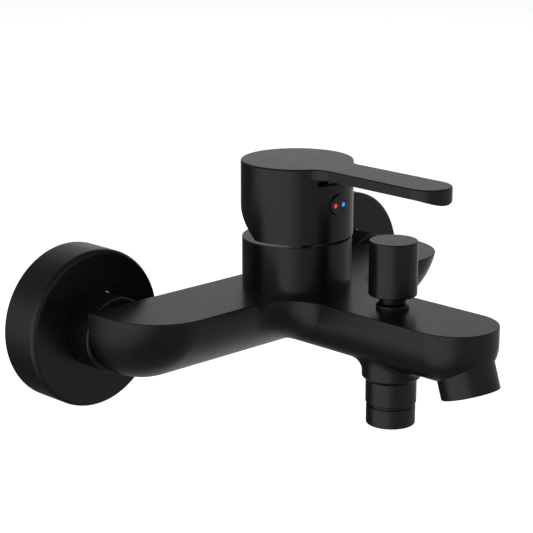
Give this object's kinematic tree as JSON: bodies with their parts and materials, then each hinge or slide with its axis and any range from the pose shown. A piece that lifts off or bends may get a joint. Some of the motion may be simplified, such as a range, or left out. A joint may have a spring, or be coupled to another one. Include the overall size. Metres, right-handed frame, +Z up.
{
  "type": "wall mounted bath and shower mixer",
  "caption": "Wall mounted single-lever bath faucet in matt black, T-shaped body with flat top, round handle with flat lever, pull-up diverter and shower outlet below.",
  "frame": {"origin": "on the wall plane, midway between the two wall connections", "axes": "+X along the wall to the right when facing it, +Y into the wall, +Z up"},
  "size_m": [0.2148, 0.1772, 0.0998],
  "materials": {
    "matt_black": "matte black coating",
    "plug_black": "satin black",
    "brass": "machined",
    "steel": "bright",
    "ceramic": "lapped",
    "acetal": "satin",
    "rubber": "matte",
    "fibre": "matte",
    "index_red": "gloss",
    "index_blue": "gloss"
  },
  "bodies": {
    "faucet": {"body": "matt_black", "inlet_tail_left": "brass", "union_nut_left": "matt_black", "inlet_washer_left": "fibre", "coupler_left": "brass", "rosette_left": "matt_black", "inlet_tail_right": "brass", "union_nut_right": "matt_black", "inlet_washer_right": "fibre", "coupler_right": "brass", "rosette_right": "matt_black", "cartridge_seal": "rubber", "cartridge_base": "acetal", "fixed_disc": "ceramic", "cartridge_housing": "acetal", "cartridge_nut": "brass", "neck_cover": "matt_black", "diverter_bush": "matt_black", "diverter_spring": "steel", "shower_nipple": "matt_black", "check_body": "acetal", "check_spring": "steel", "aerator_housing": "acetal", "aerator_core": "acetal", "aerator_seal": "rubber"},
    "guide": {"rotating_guide": "acetal", "pivot_pin": "steel"},
    "lever": {"lever_stem": "steel", "handle": "matt_black", "handle_screw": "steel", "index_plug": "plug_black", "index_hot": "index_red", "index_cold": "index_blue"},
    "discs": {"moving_disc": "ceramic", "disc_carrier": "acetal"},
    "diverter": {"diverter_knob": "matt_black", "diverter_stem": "brass", "diverter_seal_lower": "rubber", "diverter_seal_upper": "rubber", "diverter_nut": "brass"},
    "check_valve": {"check_poppet": "acetal"}
  },
  "joints": [
    {"name": "handle_turn", "type": "hinge", "parent": "faucet", "child": "guide", "pos_m": [0, -0.0569, 0.0365], "axis": [0, 0, 1], "range_deg": [-45, 45]},
    {"name": "handle_lift", "type": "hinge", "parent": "guide", "child": "lever", "pos_m": [0, -0.0569, 0.0365], "axis": [-1, 0, 0], "range_deg": [0, 25]},
    {"name": "disc_slide", "type": "slide", "parent": "guide", "child": "discs", "axis": [0, -1, 0], "range_m": [0, 0.00349]},
    {"name": "diverter_pull", "type": "slide", "parent": "faucet", "child": "diverter", "axis": [0, 0, 1], "range_m": [0, 0.009], "stiffness_N_per_m": 150, "springref_m": -0.012, "deforming": ["diverter_spring"]},
    {"name": "check_open", "type": "slide", "parent": "faucet", "child": "check_valve", "axis": [0, 0, -1], "range_m": [0, 0.003], "stiffness_N_per_m": 60, "springref_m": -0.003, "deforming": ["check_spring"]}
  ],
  "couplings": [
    {"joint": "disc_slide", "follows": "handle_lift", "m_per_rad": 0.0079367}
  ]
}
